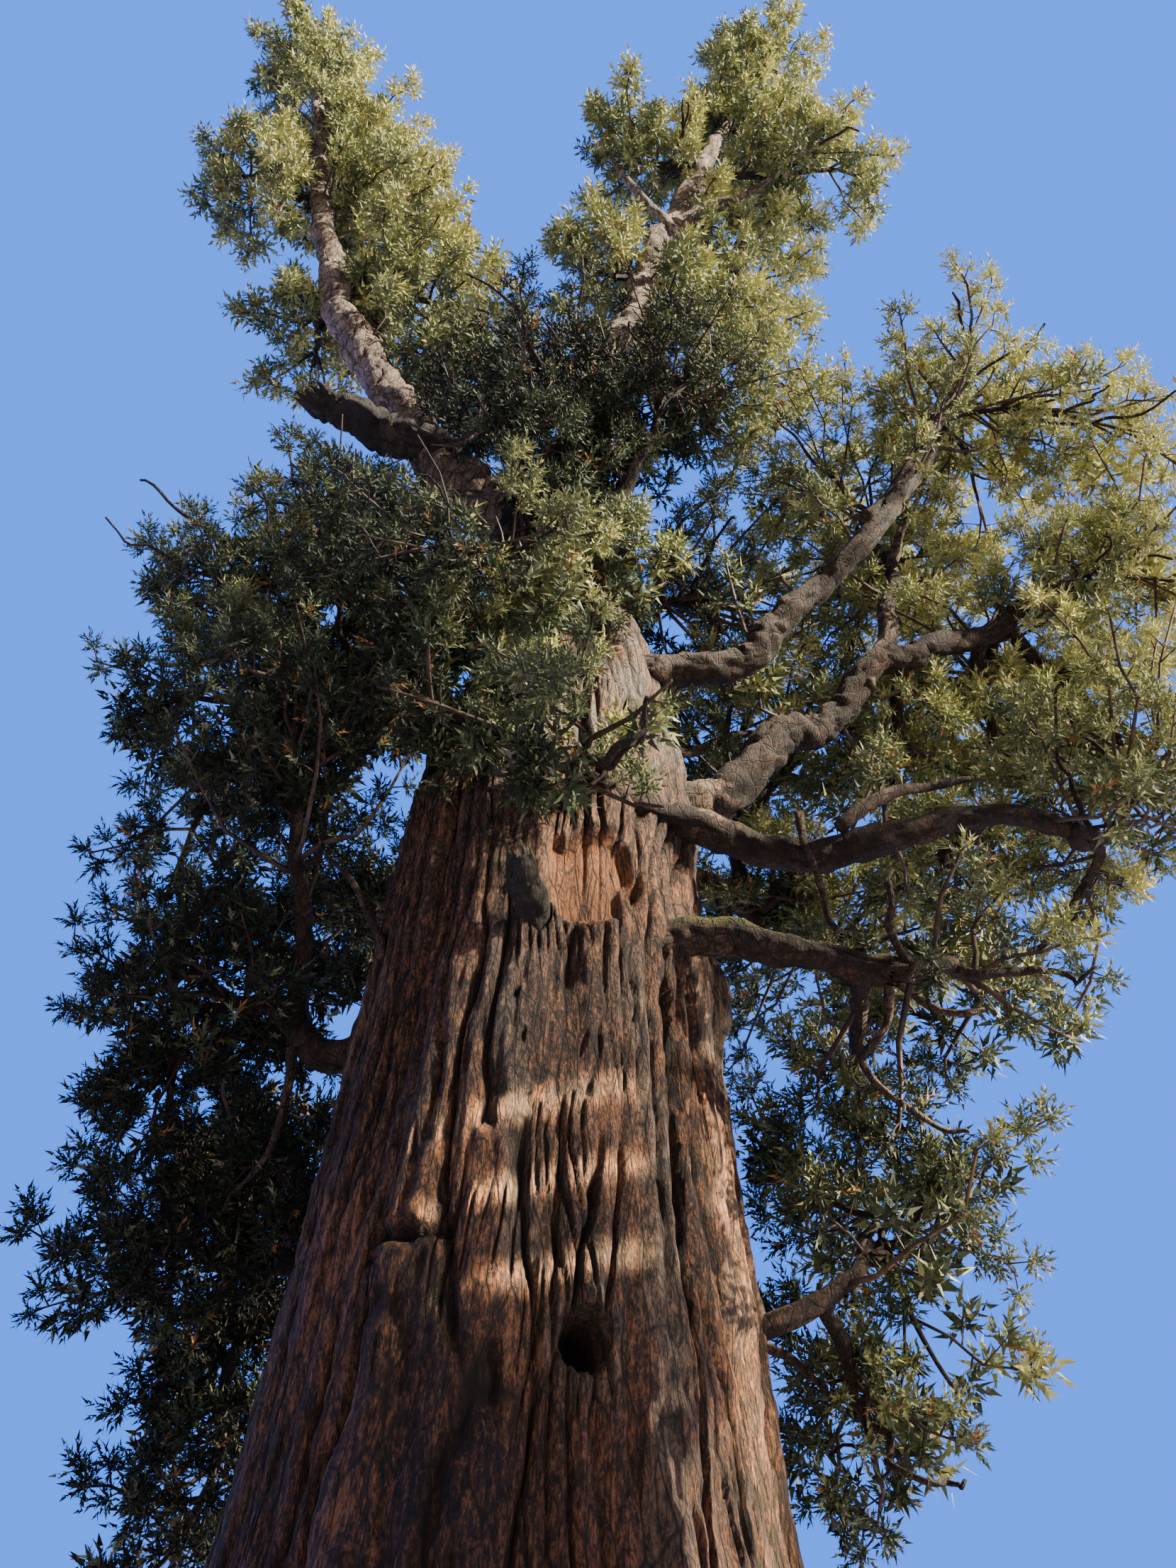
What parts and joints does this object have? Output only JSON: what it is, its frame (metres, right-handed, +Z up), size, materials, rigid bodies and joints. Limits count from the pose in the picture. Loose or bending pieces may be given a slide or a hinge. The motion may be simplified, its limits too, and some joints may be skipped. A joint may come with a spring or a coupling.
{
  "type": "giant sequoia tree",
  "caption": "Old giant sequoia with a flared trunk, a forked top of two leaders, heavy boughs, a broken snag and masses of scale-leaved foliage",
  "frame": {"origin": "middle of the flat cut under the trunk, at ground level", "axes": "+Z up along the trunk; -Y towards the side the picture was taken from; +X to that view's right"},
  "size_m": [17.9157, 9.5422, 39.2284],
  "materials": {
    "bark": "deeply furrowed, fibrous, red-brown, with grey weathered ridges",
    "upper_bark": "scaly and thin, grey-pink to red-brown",
    "dead_wood": "weathered, cracked, dark grey-brown",
    "foliage": "matte olive to blue-green scale-leaved sprays"
  },
  "bodies": {
    "root": {"back_left_bough": "bark", "back_left_bough_foliage_1": "foliage", "back_right_bough": "bark", "back_right_bough_foliage_1": "foliage", "back_right_bough_foliage_2": "foliage", "back_upper_bough": "bark", "back_upper_bough_foliage_1": "foliage", "broken_snag": "dead_wood", "centre_bough": "bark", "centre_bough_foliage_1": "foliage", "centre_bough_foliage_2": "foliage", "centre_bough_foliage_3": "foliage", "front_bough": "bark", "front_bough_foliage_1": "foliage", "left_foot_bough": "bark", "left_foot_bough_foliage_1": "foliage", "left_foot_bough_foliage_2": "foliage", "left_leader": "upper_bark", "left_leader_foliage_1": "foliage", "left_leader_foliage_2": "foliage", "left_leader_foliage_3": "foliage", "left_leader_foliage_4": "foliage", "left_leader_foliage_5": "foliage", "left_leader_foliage_6": "foliage", "left_leader_foliage_7": "foliage", "left_lower_bough": "bark", "left_lower_bough_foliage_1": "foliage", "left_lower_bough_foliage_2": "foliage", "left_middle_bough": "bark", "left_middle_bough_foliage_1": "foliage", "left_middle_bough_foliage_2": "foliage", "left_upper_bough": "bark", "left_upper_bough_foliage_1": "foliage", "left_upper_bough_foliage_2": "foliage", "right_broken_bough": "bark", "right_broken_bough_foliage_1": "foliage", "right_foot_bough": "bark", "right_foot_bough_foliage_1": "foliage", "right_foot_bough_foliage_2": "foliage", "right_leader": "upper_bark", "right_leader_foliage_1": "foliage", "right_leader_foliage_2": "foliage", "right_leader_foliage_3": "foliage", "right_leader_foliage_4": "foliage", "right_leader_foliage_5": "foliage", "right_leader_foliage_6": "foliage", "right_leader_foliage_7": "foliage", "right_lower_bough": "bark", "right_lower_bough_foliage_1": "foliage", "right_middle_bough": "bark", "right_middle_bough_foliage_1": "foliage", "right_middle_bough_foliage_2": "foliage", "right_middle_fork": "bark", "right_middle_fork_foliage_1": "foliage", "right_upper_bough": "bark", "right_upper_bough_foliage_1": "foliage", "right_upper_bough_foliage_2": "foliage", "trunk": "bark", "trunk_foliage_1": "foliage", "trunk_foliage_2": "foliage"}
  },
  "joints": []
}
